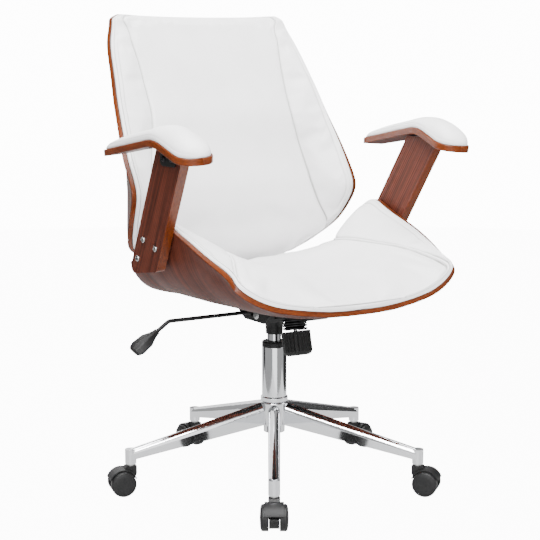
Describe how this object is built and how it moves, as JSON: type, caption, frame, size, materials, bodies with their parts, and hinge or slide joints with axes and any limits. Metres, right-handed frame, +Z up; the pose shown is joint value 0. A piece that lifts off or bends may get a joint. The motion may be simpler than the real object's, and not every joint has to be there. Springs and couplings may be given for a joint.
{
  "type": "office chair",
  "caption": "Swivelling office chair with moulded plywood seat and back, white padded upholstery, padded arms and a star base on twin-wheel casters.",
  "frame": {"origin": "on the column's axis at the floor", "axes": "+Z up, the sitter looks along -Y, +X to the sitter's left"},
  "size_m": [0.6708, 0.6437, 0.942],
  "materials": {
    "chrome": "polished",
    "black_plastic": "satin moulded",
    "bright_steel": "zinc plated",
    "black_steel": "black powder coat",
    "walnut_ply": "satin lacquer",
    "white_leather": "soft sheen"
  },
  "bodies": {
    "base": {"base_hub": "chrome", "base_leg_0": "chrome", "base_leg_1": "chrome", "base_leg_2": "chrome", "base_leg_3": "chrome", "base_leg_4": "chrome", "column_tube": "chrome", "column_collar": "chrome", "column_bush": "black_plastic", "caster_stems": "bright_steel"},
    "piston": {"piston_rod": "bright_steel", "piston_clip": "bright_steel", "thrust_bearing": "black_plastic"},
    "under_frame": {"gas_tube": "bright_steel", "tilt_housing": "black_steel", "pivot_pin": "bright_steel"},
    "button": {"release_button": "bright_steel"},
    "lever": {"lever_rod": "black_steel", "lever_paddle": "black_plastic"},
    "upper": {"seat_plate": "black_steel", "plate_bolts": "bright_steel", "seat_shell": "walnut_ply", "seat_cushion": "white_leather", "back_shell": "walnut_ply", "back_cushion": "white_leather", "back_screws": "bright_steel", "arm_post_left": "walnut_ply", "arm_post_right": "walnut_ply", "post_bolts": "bright_steel", "post_spacers": "bright_steel", "arm_bracket_left": "black_steel", "arm_bracket_right": "black_steel", "bracket_screws": "bright_steel", "arm_board_left": "walnut_ply", "arm_board_right": "walnut_ply", "arm_pad_left": "white_leather", "arm_pad_right": "white_leather", "tension_bolt": "bright_steel", "tension_spring": "black_steel"},
    "knob": {"tension_knob": "black_plastic"},
    "caster_0": {"caster_hood_0": "black_plastic", "caster_axle_0": "bright_steel"},
    "wheel_left_0": {"wheel_left_0": "black_plastic"},
    "wheel_right_0": {"wheel_right_0": "black_plastic"},
    "caster_1": {"caster_hood_1": "black_plastic", "caster_axle_1": "bright_steel"},
    "wheel_left_1": {"wheel_left_1": "black_plastic"},
    "wheel_right_1": {"wheel_right_1": "black_plastic"},
    "caster_2": {"caster_hood_2": "black_plastic", "caster_axle_2": "bright_steel"},
    "wheel_left_2": {"wheel_left_2": "black_plastic"},
    "wheel_right_2": {"wheel_right_2": "black_plastic"},
    "caster_3": {"caster_hood_3": "black_plastic", "caster_axle_3": "bright_steel"},
    "wheel_left_3": {"wheel_left_3": "black_plastic"},
    "wheel_right_3": {"wheel_right_3": "black_plastic"},
    "caster_4": {"caster_hood_4": "black_plastic", "caster_axle_4": "bright_steel"},
    "wheel_left_4": {"wheel_left_4": "black_plastic"},
    "wheel_right_4": {"wheel_right_4": "black_plastic"}
  },
  "joints": [
    {"name": "seat_swivel", "type": "hinge", "parent": "base", "child": "piston", "pos_m": [0, 0, 0.2], "axis": [0, 0, 1], "continuous": true},
    {"name": "seat_lift", "type": "slide", "parent": "piston", "child": "under_frame", "axis": [0, 0, 1], "range_m": [-0.012, 0.088]},
    {"name": "lever_lift", "type": "hinge", "parent": "under_frame", "child": "lever", "pos_m": [-0.048, 0, 0.3545], "axis": [0, 1, 0], "range_deg": [0, 6], "stiffness_Nm_per_rad": 2, "springref_deg": -8.59},
    {"name": "button_press", "type": "slide", "parent": "under_frame", "child": "button", "axis": [0, 0, 1], "range_m": [-0.0056, 0], "stiffness_N_per_m": 200, "springref_m": 0.005},
    {"name": "seat_tilt", "type": "hinge", "parent": "under_frame", "child": "upper", "pos_m": [0, -0.018, 0.351], "axis": [-1, 0, 0], "range_deg": [0, 7.5], "stiffness_Nm_per_rad": 220, "springref_deg": -11.46, "deforming": ["tension_spring"]},
    {"name": "tension_turn", "type": "hinge", "parent": "upper", "child": "knob", "pos_m": [0, -0.08225, 0.30728], "axis": [0, 0.225, 0.9744], "range_deg": [-180, 180]},
    {"name": "caster_swivel_0", "type": "hinge", "parent": "base", "child": "caster_0", "pos_m": [-0.15964, -0.25223, 0.05], "axis": [0, 0, 1], "continuous": true},
    {"name": "wheel_left_spin_0", "type": "hinge", "parent": "caster_0", "child": "wheel_left_0", "pos_m": [-0.15363, -0.27733, 0.025], "axis": [0.845, -0.5348, 0], "continuous": true},
    {"name": "wheel_right_spin_0", "type": "hinge", "parent": "caster_0", "child": "wheel_right_0", "pos_m": [-0.18489, -0.25754, 0.025], "axis": [0.845, -0.5348, 0], "continuous": true},
    {"name": "caster_swivel_1", "type": "hinge", "parent": "base", "child": "caster_1", "pos_m": [0.19055, -0.22977, 0.05], "axis": [0, 0, 1], "continuous": true},
    {"name": "wheel_left_spin_1", "type": "hinge", "parent": "caster_1", "child": "wheel_left_1", "pos_m": [0.21628, -0.23181, 0.025], "axis": [0.7697, 0.6384, 0], "continuous": true},
    {"name": "wheel_right_spin_1", "type": "hinge", "parent": "caster_1", "child": "wheel_right_1", "pos_m": [0.1878, -0.25543, 0.025], "axis": [0.7697, 0.6384, 0], "continuous": true},
    {"name": "caster_swivel_2", "type": "hinge", "parent": "base", "child": "caster_2", "pos_m": [0.2774, 0.11022, 0.05], "axis": [0, 0, 1], "continuous": true},
    {"name": "wheel_left_spin_2", "type": "hinge", "parent": "caster_2", "child": "wheel_left_2", "pos_m": [0.2873, 0.13406, 0.025], "axis": [-0.3693, 0.9293, 0], "continuous": true},
    {"name": "wheel_right_spin_2", "type": "hinge", "parent": "caster_2", "child": "wheel_right_2", "pos_m": [0.30096, 0.09968, 0.025], "axis": [-0.3693, 0.9293, 0], "continuous": true},
    {"name": "caster_swivel_3", "type": "hinge", "parent": "base", "child": "caster_3", "pos_m": [-0.01911, 0.29789, 0.05], "axis": [0, 0, 1], "continuous": true},
    {"name": "wheel_left_spin_3", "type": "hinge", "parent": "caster_3", "child": "wheel_left_3", "pos_m": [-0.03872, 0.31467, 0.025], "axis": [-0.9979, -0.064, 0], "continuous": true},
    {"name": "wheel_right_spin_3", "type": "hinge", "parent": "caster_3", "child": "wheel_right_3", "pos_m": [-0.0018, 0.31704, 0.025], "axis": [-0.9979, -0.064, 0], "continuous": true},
    {"name": "caster_swivel_4", "type": "hinge", "parent": "base", "child": "caster_4", "pos_m": [-0.28921, 0.07388, 0.05], "axis": [0, 0, 1], "continuous": true},
    {"name": "wheel_left_spin_4", "type": "hinge", "parent": "caster_4", "child": "wheel_left_4", "pos_m": [-0.31123, 0.06041, 0.025], "axis": [-0.2475, -0.9689, 0], "continuous": true},
    {"name": "wheel_right_spin_4", "type": "hinge", "parent": "caster_4", "child": "wheel_right_4", "pos_m": [-0.30207, 0.09626, 0.025], "axis": [-0.2475, -0.9689, 0], "continuous": true}
  ],
  "couplings": [
    {"joint": "button_press", "follows": "lever_lift", "m_per_rad": -0.0505}
  ]
}
